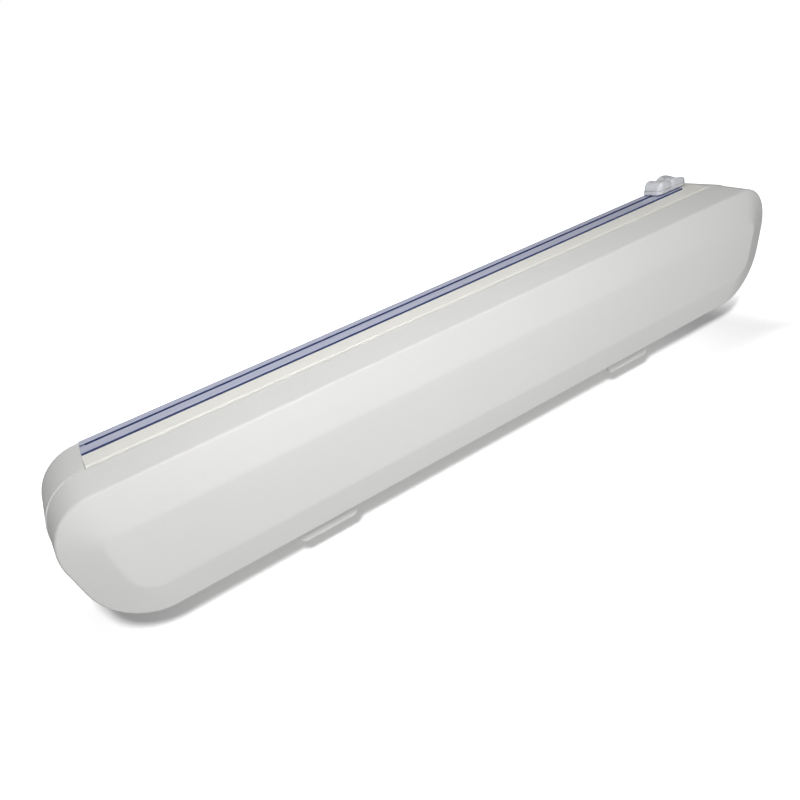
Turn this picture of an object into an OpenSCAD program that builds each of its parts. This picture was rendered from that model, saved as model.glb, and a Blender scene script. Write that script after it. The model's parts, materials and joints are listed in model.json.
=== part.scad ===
// Cling film dispenser: a long case with rounded ends that holds a roll of
// film, lets it out through a slit along the top and cuts it with a cutter
// that slides along a rail.
// Frame: origin at the centre of the flat back face, +Y into the wall,
// the front faces -Y, X along the case, +Z up. Millimetres.

/* [Case] */
// Length of the front edge outline of the case
case_len = 410; // [404:2:416]
// Height of the front edge outline of the case
case_h = 60; // [59:0.5:61]
// Radius of the rounded ends, seen from the front
end_r = 24.5; // [23:0.5:26]
// Depth of the case from its back face to its front edge
case_d = 48; // [47.5:0.5:49]
// How far the flat front panel stands out from the front edge
bulge = 6; // [5:0.5:7]
// Width of the sloping band above and below the front panel
band_w = 16; // [14:0.5:18]
// Width of the sloping band at each end of the front panel
band_end = 17; // [14:0.5:20]
// Radius of the front panel's two upper corners
panel_top_r = 5; // [4:0.5:8]
// Radius of the front panel's two lower corners
panel_low_r = 10; // [8:0.5:12]
// Distance of the parting seam from the back face
seam_y = 28; // [27:0.5:29]
// How much the case grows all round from the front edge to the seam
draft_seam = 1.85; // [1.4:0.05:2.2]
// How much the case grows all round from the front edge to the back face
draft_back = 3.1; // [2.6:0.05:3.4]
// Thickness of the moulded walls
wall = 2.2; // [2:0.1:2.4]

/* [Top deck] */
// Half length of the recess that holds the rail and the film strip
deck_x = 179.5; // [179.5:0.5:180.5]
// Top of the cutter rail above the case's mid height
rail_top = 33.8; // [33.4:0.1:34.2]
// Width of the cutter rail
rail_w = 14.7; // [14.5:0.1:14.9]
// Distance of the rail's groove from the back face
groove_y = 8; // [7.5:0.1:8.5]
// Width of the rail's groove
groove_w = 2.4; // [2.2:0.1:2.6]

/* [Cutter] */
// Length of the sliding cutter
cut_len = 25; // [24:0.5:25]
// Width of the sliding cutter
cut_w = 13; // [11:0.5:13]
// Where the cutter's middle is parked along the rail
cut_park = 166.5; // [150:0.5:166.5]

/* [Film roll] */
// Length of the film roll and of its core
roll_len = 300; // [296:1:300]
// Outer radius of the full film roll
roll_r = 20.5; // [18.5:0.5:20.5]
// Outer radius of the cardboard core
core_r = 17; // [16.5:0.5:17.5]
// Wall thickness of the cardboard core
core_t = 2; // [1.5:0.5:2.5]
// Radius of the stub axles on the hubs
axle_r = 4; // [3.5:0.1:4]
// Running clearance of the stub axles in their cradles
axle_gap = 0.06; // [0.03:0.01:0.09]

/* [Cover hinge] */
// Distance of each hinge lug from the middle of the case
lug_x = 104; // [96:1:110]
// Width of each hinge lug
lug_w = 33; // [33:0.5:36]
// How far each hinge lug's plate reaches below the case's mid height
lug_low = 38.5; // [37:0.5:39.5]
// Radius of the hinge pins
pin_r = 1.5; // [1.4:0.05:1.5]
// Running clearance of the hinge pins in the case's knuckles
pin_gap = 0.05; // [0.03:0.01:0.09]

/* [Wall screws] */
// Half the distance between the two wall screw holes
wall_x = 178; // [177:0.5:180]
// Radius of the wall screw holes
wall_r = 2.25; // [2:0.05:2.5]

/* [Hidden] */

hl = case_len / 2;
hh = case_h / 2;
gap = 0.3;                     // gap between the cover and the case
panel_y = -(case_d + bulge);   // flat front panel
ax_y = -34;                    // hinge axis
ax_z = -35.4;
roll_y = -26;                  // roll axis
roll_z = -3;
shelf_z = 27.5;                // top of the shelf under the rail
shelf_t = 2;
rail_y0 = -(1.5 + rail_w);     // front edge of the rail
rail_y1 = -1.5;                // back edge of the rail
strip_y0 = -seam_y + 0.8;      // front edge of the film strip
strip_y1 = rail_y0 - 1;      // back edge of the film strip
pad_z = 33.4;                  // top of the strip's parking pad
cham_w = 6;                    // chamber under the groove
cham_z0 = 28.7;
cham_z1 = 31.3;
rail_end = deck_x - 0.3;       // left end of the rail and ends of the strip
rail_r = 171;                  // right end of the rail
mech_x = -4.5;                 // blade and foot, from the cutter's middle
lip_z = 32.4;                  // top of the back wall behind the rail
cyl = 64;

// Points of a rectangle with round corners, n steps to a corner.
function rrect(a, b, r, n = 12) = [
    for (q = [0:3]) for (i = [0:n])
        let (t = 90 * q + 90 * i / n,
             cx = (q == 0 || q == 3) ? a - r : r - a,
             cy = (q < 2) ? b - r : r - b)
        [cx + r * cos(t), cy + r * sin(t)]];

// The front panel's outline: tight corners above, wide corners below.
function panel_points(a, b, rt, rb, n = 12) = [
    for (q = [0:3]) for (i = [0:n])
        let (t = 90 * q + 90 * i / n,
             r = q < 2 ? rt : rb,
             cx = (q == 0 || q == 3) ? a - r : r - a,
             cy = (q < 2) ? b - r : r - b)
        [cx + r * cos(t), cy + r * sin(t)]];

// Thin slice of the case outline, grown by g, at depth y.
module slice(y, g) {
    translate([0, y, 0]) rotate([90, 0, 0]) linear_extrude(0.01)
        polygon(rrect(hl + g, hh + g, end_r + g));
}
// Thin slice of the front panel outline, shrunk by s, at depth y.
module panel_slice(y, s) {
    translate([0, y, 0]) rotate([90, 0, 0]) linear_extrude(0.01)
        polygon(panel_points(hl - band_end - s, hh - band_w - s,
                             panel_top_r - s, panel_low_r - s));
}
// A profile drawn in Y and Z, run along X.
module along_x(x0, x1) {
    translate([x0, 0, 0]) rotate([90, 0, 90]) linear_extrude(x1 - x0)
        children();
}
module box(a, b) { translate(a) cube(b - a); }
module rod_x(x0, x1, y, z, r) {
    translate([x0, y, z]) rotate([0, 90, 0])
        cylinder(r = r, h = x1 - x0, $fn = cyl);
}
module rod_y(y0, y1, x, z, r) {
    translate([x, y0, z]) rotate([-90, 0, 0])
        cylinder(r = r, h = y1 - y0, $fn = cyl);
}
module rod_z(z0, z1, x, y, r) {
    translate([x, y, z0]) cylinder(r = r, h = z1 - z0, $fn = cyl);
}

deck_screw_x = [-150, 0, 150];
strip_screw_x = [-120, 30, 120];
rail_screw_y = -13.6;
strip_screw_y = (strip_y0 + strip_y1) / 2;
cradle_screw_x = 165;
cradle_screw_z = [-9, 3];

module back_shell() color([0.93, 0.93, 0.91]) {
    difference() {
        union() {
            difference() {
                hull() { slice(-seam_y + gap / 2 + 0.01, draft_seam);
                         slice(0, draft_back); }
                hull() { slice(-seam_y - 1, draft_seam - wall);
                         slice(-wall, draft_back - wall); }
                // recess for the rail and the film strip
                box([-deck_x, -seam_y - 1, shelf_z], [deck_x, -1.35, 40]);
                box([-deck_x, -2, lip_z], [deck_x, 1, 40]);
            }
            // shelf under the rail and the strip, and the recess's end walls
            box([-deck_x - wall, -seam_y + 0.8, shelf_z - shelf_t],
                [deck_x + wall, -1, shelf_z]);
            for (s = [-1, 1])
                translate([s * (deck_x + wall / 2), 0, 0])
                    box([-wall / 2, -seam_y + 0.3, shelf_z - 1],
                        [wall / 2, -1, 30.6]);
            // hinge knuckles
            for (s = [-1, 1]) translate([s * lug_x, 0, 0]) {
                rod_x(-10.5, 10.5, ax_y, ax_z, 2.8);
                box([-10.5, ax_y, -38.2], [10.5, -24, -34.8]);
                box([-10.5, -27, -38.2], [10.5, -17, -31]);
            }
            // stiffening ribs across the back wall
            for (x = [-75, 0, 75])
                box([x - 0.9, -3.4, -31.4], [x + 0.9, -1, shelf_z - 1]);
        }
        for (s = [-1, 1]) {
            rod_x(s * lug_x - 12, s * lug_x + 12, ax_y, ax_z, pin_r + pin_gap);
            rod_y(-5, 1, s * wall_x, 0, wall_r);
            for (z = cradle_screw_z)
                rod_y(-4, -0.4, s * cradle_screw_x, z, 1.5);
        }
        for (x = deck_screw_x)
            rod_z(shelf_z - 3, shelf_z + 1, x, rail_screw_y, 1.6);
        for (x = strip_screw_x)
            rod_z(shelf_z - 3, shelf_z + 1, x, strip_screw_y, 1.6);
    }
}

module lug_plate() {
    translate([0, -39.8, 0]) rotate([90, 0, 0]) linear_extrude(2.2)
    union() {
        for (s = [-1, 1]) translate([s * (lug_w / 2 - 4), -lug_low + 4])
            circle(r = 4, $fn = cyl);
        translate([-lug_w / 2, -lug_low + 4])
            square([lug_w, lug_low - 4 - 29.2]);
        translate([-lug_w / 2 + 4, -lug_low]) square([lug_w - 8, 5]);
    }
}

module front_cover() color([0.95, 0.95, 0.94]) {
    difference() {
        union() {
            hull() { slice(-seam_y - gap / 2, draft_seam);
                     slice(-case_d + 0.01, 0); }
            hull() { slice(-case_d + 0.01, 0);
                     panel_slice(panel_y + 0.01, 0); }
            for (s = [-1, 1]) translate([s * lug_x, 0, 0]) {
                lug_plate();
                for (e = [-1, 1]) translate([e * 13.75, 0, 0]) {
                    rod_x(-2.75, 2.75, ax_y, ax_z, 3);
                    box([-2.75, -41.9, -35], [2.75, ax_y, -30]);
                    box([-2.75, ax_y - 3, ax_z], [2.75, ax_y + 3, -30.5]);
                }
            }
        }
        hull() { slice(-seam_y + 1, draft_seam - wall);
                 slice(-case_d + 1.4, -wall + 0.1); }
        hull() { slice(-case_d + 1.5, -wall);
                 panel_slice(panel_y + wall, 0.4); }
        for (s = [-1, 1])
            rod_x(s * lug_x - 20, s * lug_x + 20, ax_y, ax_z, pin_r);
    }
    // tongues that reach under the case's top wall when the cover is shut
    for (s = [-1, 1]) translate([s * 186, 0, 0]) {
        box([-3, -33, 24.8], [3, -24, 26.3]);
        box([-3, -33, 24.8], [3, -29.4, 29.2]);
    }
}

module film_strip() color([0.93, 0.91, 0.84]) difference() {
    union() {
        along_x(-rail_end, rail_end) polygon([
            [strip_y0, shelf_z], [strip_y0, 31.3], [strip_y0 + 0.5, 31.75],
            [strip_y1 - 0.4, pad_z], [strip_y1, pad_z - 0.3],
            [strip_y1, shelf_z],
            [strip_y1 - 1.6, shelf_z], [strip_y1 - 1.6, 31.0],
            [strip_y0 + 1.6, 30.0], [strip_y0 + 1.6, shelf_z]]);
        for (x = strip_screw_x)
            rod_z(shelf_z, 30.9, x, strip_screw_y, 2.8);
        // pad under the parked cutter, past the rail's right end
        box([rail_r + 0.2, strip_y1 - 0.2, shelf_z],
            [rail_end, rail_y1, pad_z]);
    }
    for (x = strip_screw_x)
        rod_z(shelf_z - 1, 30.4, x, strip_screw_y, 1.25);
}

module cutter_rail() color([0.66, 0.71, 0.86]) difference() {
    along_x(-rail_end, rail_r) polygon([
        [rail_y0, shelf_z], [rail_y0, rail_top - 0.5],
        [rail_y0 + 0.5, rail_top],
        [-groove_y - groove_w / 2, rail_top],
        [-groove_y - groove_w / 2, cham_z1],
        [-groove_y - cham_w / 2, cham_z1], [-groove_y - cham_w / 2, cham_z0],
        [-groove_y + cham_w / 2, cham_z0], [-groove_y + cham_w / 2, cham_z1],
        [-groove_y + groove_w / 2, cham_z1],
        [-groove_y + groove_w / 2, rail_top],
        [rail_y1 - 0.5, rail_top], [rail_y1, rail_top - 0.5],
        [rail_y1, shelf_z]]);
    for (x = deck_screw_x)
        rod_z(shelf_z - 1, 31.9, x, rail_screw_y, 1.25);
}

module rail_stop(x) color([0.85, 0.86, 0.9])
    translate([x, 0, 0]) {
        box([-1, -groove_y - cham_w / 2 + 0.05, cham_z0],
            [1, -groove_y + cham_w / 2 - 0.05, cham_z1 - 0.05]);
        box([-1, -groove_y - groove_w / 2 + 0.05, cham_z1 - 0.1],
            [1, -groove_y + groove_w / 2 - 0.05, rail_top - 0.3]);
    }
module rail_stop_left() rail_stop(-rail_end + 1.1);
module rail_stop_right() rail_stop(rail_r - 1.1);

// Outline of the cutter from above: a blunt left end and a round right end.
module cutter_outline(s) {
    union() {
        translate([-cut_len / 2 + s, -cut_w / 2 + s])
            square([cut_len - cut_w / 2 - s, cut_w - 2 * s]);
        translate([cut_len / 2 - cut_w / 2, 0])
            circle(r = cut_w / 2 - s, $fn = cyl);
    }
}
base_z = rail_top + 0.35;      // underside of the cutter, clear of the film
grip_z = base_z + 1.8;

module at_cutter() translate([cut_park, -groove_y, 0]) children();

module cutter_base() color([0.9, 0.91, 0.92]) at_cutter() difference() {
    translate([0, 0, base_z]) linear_extrude(1.8) cutter_outline(0);
    // slot for the blade and the hole for the screw
    box([mech_x - 7.5, -0.35, base_z - 1],
        [mech_x + 7.5, 0.35, base_z + 1.2]);
    rod_z(base_z - 1, base_z + 3, mech_x, 0, 1.6);
}
module cutter_grip() color([0.92, 0.93, 0.94]) at_cutter() difference() {
    intersection() {
        translate([0, 0, grip_z]) linear_extrude(10) cutter_outline(0.15);
        rotate([90, 0, 0]) translate([0, 0, -10]) linear_extrude(20)
            polygon([[-11.9, grip_z], [-11.8, 37.6], [-11.0, 38.9],
                [-9.6, 39.8], [-8.0, 40.1], [-6.4, 39.9], [-4.8, 39.4],
                [-3.4, 39.0], [-2.2, 39.0], [-1.0, 39.5], [0.6, 40.0],
                [2.4, 40.2], [5.0, 39.9], [8.0, 39.1], [10.4, 38.0],
                [11.6, 37.0], [11.9, grip_z]]);
    }
    rod_z(grip_z - 1, grip_z + 2.2, mech_x, 0, 1.2);
}
module cutter_foot() color([0.85, 0.86, 0.88]) at_cutter() difference() {
    union() {
        box([mech_x - 6, -2.6, 29.0], [mech_x + 6, 2.6, 31.0]);
        box([mech_x - 2.4, -0.65, 30.9], [mech_x + 2.4, 0.65, base_z]);
    }
    rod_z(27, base_z + 1, mech_x, 0, 0.4);
}
module cutter_blade() color([0.75, 0.76, 0.78]) at_cutter()
    for (a = [0, 180]) translate([mech_x, 0, 0]) rotate([0, 0, a])
        rotate([90, 0, 0]) translate([0, 0, -0.2]) linear_extrude(0.4)
            polygon([[2.5, 31.6], [2.5, base_z + 1.2], [7.2, base_z + 1.2],
                     [7.2, base_z + 0.2], [4.4, 31.6]]);
module cutter_screw() color([0.7, 0.71, 0.73]) at_cutter() {
    rod_z(29.2, grip_z + 2, mech_x, 0, 0.4);
    rod_z(base_z + 0.6, grip_z + 2, mech_x, 0, 1.2);
}

module film_roll() color([0.82, 0.88, 0.93]) difference() {
    rod_x(-roll_len / 2, roll_len / 2, roll_y, roll_z, roll_r);
    rod_x(-roll_len, roll_len, roll_y, roll_z, core_r);
}
module core_tube() color([0.72, 0.58, 0.42]) difference() {
    rod_x(-roll_len / 2, roll_len / 2, roll_y, roll_z, core_r);
    rod_x(-roll_len, roll_len, roll_y, roll_z, core_r - core_t);
}
module hub() {
    x0 = roll_len / 2;
    difference() {
        union() {
            rod_x(x0 - 10, x0 + 0.1, roll_y, roll_z, core_r - core_t);
            rod_x(x0, x0 + 2, roll_y, roll_z, core_r + 1.5);
            rod_x(x0 + 1, x0 + 12, roll_y, roll_z, axle_r);
        }
        rod_x(x0 - 11, x0 - 1.5, roll_y, roll_z, core_r - core_t - 2);
        rod_x(x0 - 3, x0 + 20, roll_y, roll_z, 1.5);
    }
}
module hub_right() color([0.88, 0.89, 0.9]) hub();
module hub_left() color([0.88, 0.89, 0.9]) mirror([1, 0, 0]) hub();

module cradle() difference() {
    union() {
        difference() {
            along_x(roll_len / 2 + 4, roll_len / 2 + 10) polygon([
                [-wall, -16], [-wall, 10], [-8, 10], [-18, 7.5], [-32, 4.5],
                [-33, 3.5], [-33, -10], [-31, -12], [-18, -14], [-8, -16]]);
            rod_x(roll_len / 2, roll_len / 2 + 20, roll_y, roll_z,
                  axle_r + axle_gap);
            box([roll_len / 2, -40, roll_z - axle_r - axle_gap],
                [roll_len / 2 + 20, roll_y, roll_z + axle_r + axle_gap]);
        }
        box([roll_len / 2 + 4, -4.7, -16], [roll_len / 2 + 20, -wall, 10]);
    }
    for (z = cradle_screw_z) rod_y(-6, 0, cradle_screw_x, z, 1.6);
}
module cradle_right() color([0.9, 0.9, 0.88]) cradle();
module cradle_left() color([0.9, 0.9, 0.88]) mirror([1, 0, 0]) cradle();

module hinge_pin(s) color([0.72, 0.73, 0.75]) {
    rod_x(s * lug_x - lug_w / 2, s * lug_x + lug_w / 2, ax_y, ax_z, pin_r);
    rod_x(s * lug_x + (s > 0 ? lug_w / 2 : -lug_w / 2 - 0.8),
          s * lug_x + (s > 0 ? lug_w / 2 + 0.8 : -lug_w / 2),
          ax_y, ax_z, 2.3);
}
module hinge_pin_left() hinge_pin(-1);
module hinge_pin_right() hinge_pin(1);

module deck_screws() color([0.7, 0.71, 0.73]) {
    for (x = deck_screw_x) {
        rod_z(shelf_z - shelf_t - 0.1, 31.6, x, rail_screw_y, 1.25);
        rod_z(shelf_z - shelf_t - 1.6, shelf_z - shelf_t, x, rail_screw_y,
              2.6);
    }
    for (x = strip_screw_x) {
        rod_z(shelf_z - shelf_t - 0.1, 30.2, x, strip_screw_y, 1.25);
        rod_z(shelf_z - shelf_t - 1.6, shelf_z - shelf_t, x, strip_screw_y,
              2.6);
    }
}
module cradle_screws() color([0.7, 0.71, 0.73])
    for (s = [-1, 1]) for (z = cradle_screw_z) {
        rod_y(-5, -0.6, s * cradle_screw_x, z, 1.5);
        rod_y(-6.3, -4.7, s * cradle_screw_x, z, 2.8);
    }

back_shell();
front_cover();
film_strip();
cutter_rail();
rail_stop_left();
rail_stop_right();
cutter_grip();
cutter_base();
cutter_foot();
cutter_blade();
cutter_screw();
film_roll();
core_tube();
hub_left();
hub_right();
cradle_left();
cradle_right();
hinge_pin_left();
hinge_pin_right();
deck_screws();
cradle_screws();
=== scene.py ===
import json
import math
import bpy
import bmesh
from mathutils import Matrix, Vector

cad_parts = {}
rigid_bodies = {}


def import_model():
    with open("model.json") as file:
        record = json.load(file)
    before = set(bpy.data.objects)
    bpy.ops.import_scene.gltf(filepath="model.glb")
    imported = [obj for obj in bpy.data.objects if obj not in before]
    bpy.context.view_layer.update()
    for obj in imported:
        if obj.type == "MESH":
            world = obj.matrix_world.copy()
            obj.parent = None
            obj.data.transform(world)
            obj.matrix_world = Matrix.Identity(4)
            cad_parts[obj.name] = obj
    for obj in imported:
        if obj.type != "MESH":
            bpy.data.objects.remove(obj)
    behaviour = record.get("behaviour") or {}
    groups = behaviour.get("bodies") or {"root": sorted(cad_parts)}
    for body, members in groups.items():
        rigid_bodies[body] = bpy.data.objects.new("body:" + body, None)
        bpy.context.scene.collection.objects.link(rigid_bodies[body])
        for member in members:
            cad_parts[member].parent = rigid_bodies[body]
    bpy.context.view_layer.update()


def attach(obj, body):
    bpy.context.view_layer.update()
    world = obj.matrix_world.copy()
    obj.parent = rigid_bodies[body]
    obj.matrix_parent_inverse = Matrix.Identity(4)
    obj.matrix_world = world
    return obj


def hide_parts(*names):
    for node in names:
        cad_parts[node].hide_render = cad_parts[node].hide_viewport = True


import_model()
MM = 0.001

# ---------------------------------------------------------------- camera
M = Matrix(((0.82114, -0.53220, -0.20612),
            (-0.50267, -0.50338, -0.70281),
            (0.27028, 0.68072, -0.68086)))
right, down, fwd = M[0].normalized(), M[1].normalized(), M[2].normalized()
right = down.cross(fwd).normalized()
down = fwd.cross(right).normalized()
eye = Vector((-0.14184, -0.25247, 0.11383))
cam_data = bpy.data.cameras.new("photo_camera")
cam = bpy.data.objects.new("photo_camera", cam_data)
bpy.context.scene.collection.objects.link(cam)
rot = Matrix((right, -down, -fwd)).transposed()
cam.matrix_world = Matrix.Translation(eye) @ rot.to_4x4()
cam_data.sensor_width = 36.0
cam_data.lens = 36.0 * 512.657 / 800.0
cam_data.shift_x = -(430.0 - 400.0) / 800.0
cam_data.shift_y = (563.70 - 400.0) / 800.0
cam_data.clip_start = 0.005
cam_data.clip_end = 50.0
cam_data.dof.use_dof = False
bpy.context.scene.camera = cam


# ---------------------------------------------------------------- mesh tools
def new_object(name, mesh):
    o = bpy.data.objects.new(name, mesh)
    bpy.context.scene.collection.objects.link(o)
    return o


def mesh_from(name, verts, faces, scale=MM):
    me = bpy.data.meshes.new(name)
    me.from_pydata([tuple(c * scale for c in v) for v in verts], [], faces)
    me.update()
    return me


def tidy(me, dist=2e-6):
    bm = bmesh.new()
    bm.from_mesh(me)
    bmesh.ops.remove_doubles(bm, verts=bm.verts, dist=dist)
    bmesh.ops.dissolve_degenerate(bm, edges=bm.edges, dist=1e-7)
    bmesh.ops.recalc_face_normals(bm, faces=bm.faces)
    bm.to_mesh(me)
    bm.free()
    me.update()


def shade(o, angle=32.0, weighted=True):
    me = o.data
    for p in me.polygons:
        p.use_smooth = True
    me.set_sharp_from_angle(angle=math.radians(angle))
    if weighted:
        w = o.modifiers.new("normals", "WEIGHTED_NORMAL")
        w.mode = "FACE_AREA"
        w.keep_sharp = True
    me.update()


def apply_all(o):
    dg = bpy.context.evaluated_depsgraph_get()
    dg.update()
    me = bpy.data.meshes.new_from_object(o.evaluated_get(dg))
    o.modifiers.clear()
    old = o.data
    o.data = me
    bpy.data.meshes.remove(old)
    return o


def boolean(o, tools, op):
    for t in tools:
        m = o.modifiers.new("b", "BOOLEAN")
        m.operation = op
        m.solver = "EXACT"
        m.object = t
        apply_all(o)
    for t in tools:
        me = t.data
        bpy.data.objects.remove(t)
        bpy.data.meshes.remove(me)
    return o


def ring(a, b, r, y, n=14, long=28, short=3):
    """A rounded rectangle in X and Z at depth y, counter-clockwise.
    r may be a pair: the upper corners' radius and the lower corners'."""
    pts = []
    pair = r if isinstance(r, tuple) else (r, r)
    pair = [min(v, a, b) for v in pair]
    for q in range(4):
        r = pair[0] if q < 2 else pair[1]
        cx = (a - r) if q in (0, 3) else (r - a)
        cz = (b - r) if q < 2 else (r - b)
        for i in range(n + 1):
            t = math.radians(90 * q + 90.0 * i / n)
            pts.append(Vector((cx + r * math.cos(t), y, cz + r * math.sin(t))))
        # the straight side that follows this corner
        nq = (q + 1) % 4
        nr = pair[0] if nq < 2 else pair[1]
        ncx = (a - nr) if nq in (0, 3) else (nr - a)
        ncz = (b - nr) if nq < 2 else (nr - b)
        t = math.radians(90 * (q + 1))
        p0 = pts[-1]
        p1 = Vector((ncx + nr * math.cos(t), y, ncz + nr * math.sin(t)))
        m = long if q in (0, 2) else short
        for i in range(1, m):
            pts.append(p0.lerp(p1, i / m))
    return pts


def rounded_rings(rings, fillets, k=5):
    """Each ring with a fillet becomes k + 1 rings on a smooth curve."""
    out = []
    last = len(rings) - 1
    for i, rg in enumerate(rings):
        f = fillets[i]
        if f <= 0 or i in (0, last):
            out.append(rg)
            continue
        steps = k if f > 0.5 else 3
        if f > 3:
            steps = 10
        made = [[] for _ in range(steps + 1)]
        for j, p in enumerate(rg):
            a, c = rings[i - 1][j], rings[i + 1][j]
            da, dc = (a - p), (c - p)
            la, lc = da.length, dc.length
            fa, fc = min(f, la * 0.45), min(f, lc * 0.45)
            pa = p + (da * (fa / la) if la > 1e-9 else Vector())
            pc = p + (dc * (fc / lc) if lc > 1e-9 else Vector())
            for s in range(steps + 1):
                u = s / steps
                made[s].append(pa * (1 - u) ** 2 + p * 2 * u * (1 - u)
                               + pc * u * u)
        out.extend(made)
    return out


def loft(name, rings, close_ends=False):
    n = len(rings[0])
    verts = [tuple(p) for rg in rings for p in rg]
    faces = []
    for i in range(len(rings) - 1):
        for j in range(n):
            j2 = (j + 1) % n
            faces.append((i * n + j, i * n + j2,
                          (i + 1) * n + j2, (i + 1) * n + j))
    if close_ends:
        faces.append(tuple(range(n))[::-1])
        m = (len(rings) - 1) * n
        faces.append(tuple(m + j for j in range(n)))
    me = mesh_from(name, verts, faces)
    tidy(me)
    return me


def bevel_mesh(me, width, segments=3, angle=28.0):
    """Rounds the sharp edges of a closed mesh."""
    bm = bmesh.new()
    bm.from_mesh(me)
    edges = [e for e in bm.edges if len(e.link_faces) == 2
             and e.calc_face_angle(0) > math.radians(angle)]
    bmesh.ops.bevel(bm, geom=edges, offset=width * MM, segments=segments,
                    profile=0.6, affect="EDGES", clamp_overlap=True)
    bmesh.ops.remove_doubles(bm, verts=bm.verts, dist=1e-7)
    bmesh.ops.recalc_face_normals(bm, faces=bm.faces)
    bm.to_mesh(me)
    bm.free()
    me.update()


def box_obj(name, lo, hi, bevel=0.0):
    x0, y0, z0 = lo
    x1, y1, z1 = hi
    v = [(x0, y0, z0), (x1, y0, z0), (x1, y1, z0), (x0, y1, z0),
         (x0, y0, z1), (x1, y0, z1), (x1, y1, z1), (x0, y1, z1)]
    f = [(0, 3, 2, 1), (4, 5, 6, 7), (0, 1, 5, 4), (1, 2, 6, 5),
         (2, 3, 7, 6), (3, 0, 4, 7)]
    me = mesh_from(name, v, f)
    if bevel:
        bevel_mesh(me, bevel)
    return new_object(name, me)


def round_poly(pts, radii, k=6):
    """A 2D outline whose corners are rounded by the given radii."""
    out = []
    n = len(pts)
    for i in range(n):
        p = Vector(pts[i]).to_2d()
        a = Vector(pts[i - 1]).to_2d() - p
        c = Vector(pts[(i + 1) % n]).to_2d() - p
        r = radii[i] if isinstance(radii, (list, tuple)) else radii
        if r <= 0:
            out.append(p)
            continue
        la, lc = a.length, c.length
        half = 0.5 * a.angle(c)
        t = min(r / max(math.tan(half), 1e-6), la * 0.45, lc * 0.45)
        pa, pc = p + a * (t / la), p + c * (t / lc)
        for s in range(k + 1):
            u = s / k
            out.append(pa * (1 - u) ** 2 + p * 2 * u * (1 - u) + pc * u * u)
    return out


def extrude_x(name, outline, x0, x1, bevel=0.0, parts=1):
    """An outline in (Y, Z) run along X."""
    n = len(outline)
    verts, faces = [], []
    for s in range(parts + 1):
        x = x0 + (x1 - x0) * s / parts
        verts += [(x, p[0], p[1]) for p in outline]
    for s in range(parts):
        for j in range(n):
            k = (j + 1) % n
            faces.append((s * n + j, s * n + k,
                          (s + 1) * n + k, (s + 1) * n + j))
    faces.append(tuple(range(n)))
    faces.append(tuple(parts * n + j for j in range(n))[::-1])
    me = mesh_from(name, verts, faces)
    bm = bmesh.new()
    bm.from_mesh(me)
    bmesh.ops.recalc_face_normals(bm, faces=bm.faces)
    if bevel:
        caps = [e for e in bm.edges if len(e.link_faces) == 2
                and (len(e.link_faces[0].verts) > 4)
                != (len(e.link_faces[1].verts) > 4)]
        bmesh.ops.bevel(bm, geom=caps, offset=bevel * MM, segments=2,
                        profile=0.6, affect="EDGES", clamp_overlap=True)
    bm.to_mesh(me)
    bm.free()
    me.update()
    return new_object(name, me)


def extrude_axis(name, outline, y0, y1, axis="y", bevel=0.0):
    """An outline in (X, Z) run along Y, or in (X, Y) run along Z."""
    n = len(outline)
    if axis == "y":
        verts = [(p[0], y0, p[1]) for p in outline]
        verts += [(p[0], y1, p[1]) for p in outline]
    else:
        verts = [(p[0], p[1], y0) for p in outline]
        verts += [(p[0], p[1], y1) for p in outline]
    faces = [(j, (j + 1) % n, n + (j + 1) % n, n + j) for j in range(n)]
    faces.append(tuple(range(n))[::-1])
    faces.append(tuple(n + j for j in range(n)))
    me = mesh_from(name, verts, faces)
    bm = bmesh.new()
    bm.from_mesh(me)
    bmesh.ops.recalc_face_normals(bm, faces=bm.faces)
    if bevel:
        caps = [e for e in bm.edges if len(e.link_faces) == 2
                and (len(e.link_faces[0].verts) > 4)
                != (len(e.link_faces[1].verts) > 4)]
        bmesh.ops.bevel(bm, geom=caps, offset=bevel * MM, segments=3,
                        profile=0.6, affect="EDGES", clamp_overlap=True)
    bm.to_mesh(me)
    bm.free()
    me.update()
    return new_object(name, me)


def lathe(name, profile, axis, at, n=64, closed=True):
    """A profile of (along, radius) points turned about an axis.
    closed: the profile is a loop, as for a tube."""
    verts, faces = [], []
    m = len(profile)
    for (s, r) in profile:
        for i in range(n):
            t = 2 * math.pi * i / n
            c, d = r * math.cos(t), r * math.sin(t)
            if axis == "x":
                verts.append((at[0] + s, at[1] + c, at[2] + d))
            elif axis == "y":
                verts.append((at[0] + c, at[1] + s, at[2] + d))
            else:
                verts.append((at[0] + c, at[1] + d, at[2] + s))
    for i in range(m if closed else m - 1):
        i2 = (i + 1) % m
        for j in range(n):
            k = (j + 1) % n
            faces.append((i * n + j, i * n + k, i2 * n + k, i2 * n + j))
    me = mesh_from(name, verts, faces)
    tidy(me)
    return new_object(name, me)


def smooth_profile(pts, radii, k=4):
    return [tuple(p) for p in round_poly(pts, radii, k)]


def join(name, objs):
    """Several separate solids in one mesh."""
    bm = bmesh.new()
    for o in objs:
        tmp = o.data.copy()
        tmp.transform(o.matrix_basis)
        bm.from_mesh(tmp)
        bpy.data.meshes.remove(tmp)
    me = bpy.data.meshes.new(name)
    bm.to_mesh(me)
    bm.free()
    for o in objs:
        old = o.data
        bpy.data.objects.remove(o)
        bpy.data.meshes.remove(old)
    return new_object(name, me)


# ---------------------------------------------------------------- materials
def material(name):
    m = bpy.data.materials.new(name)
    m.use_nodes = True
    nt = m.node_tree
    nt.nodes.clear()
    out = nt.nodes.new("ShaderNodeOutputMaterial")
    bsdf = nt.nodes.new("ShaderNodeBsdfPrincipled")
    nt.links.new(bsdf.outputs[0], out.inputs[0])
    coord = nt.nodes.new("ShaderNodeTexCoord")
    return m, nt, bsdf, coord.outputs["Object"]


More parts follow.
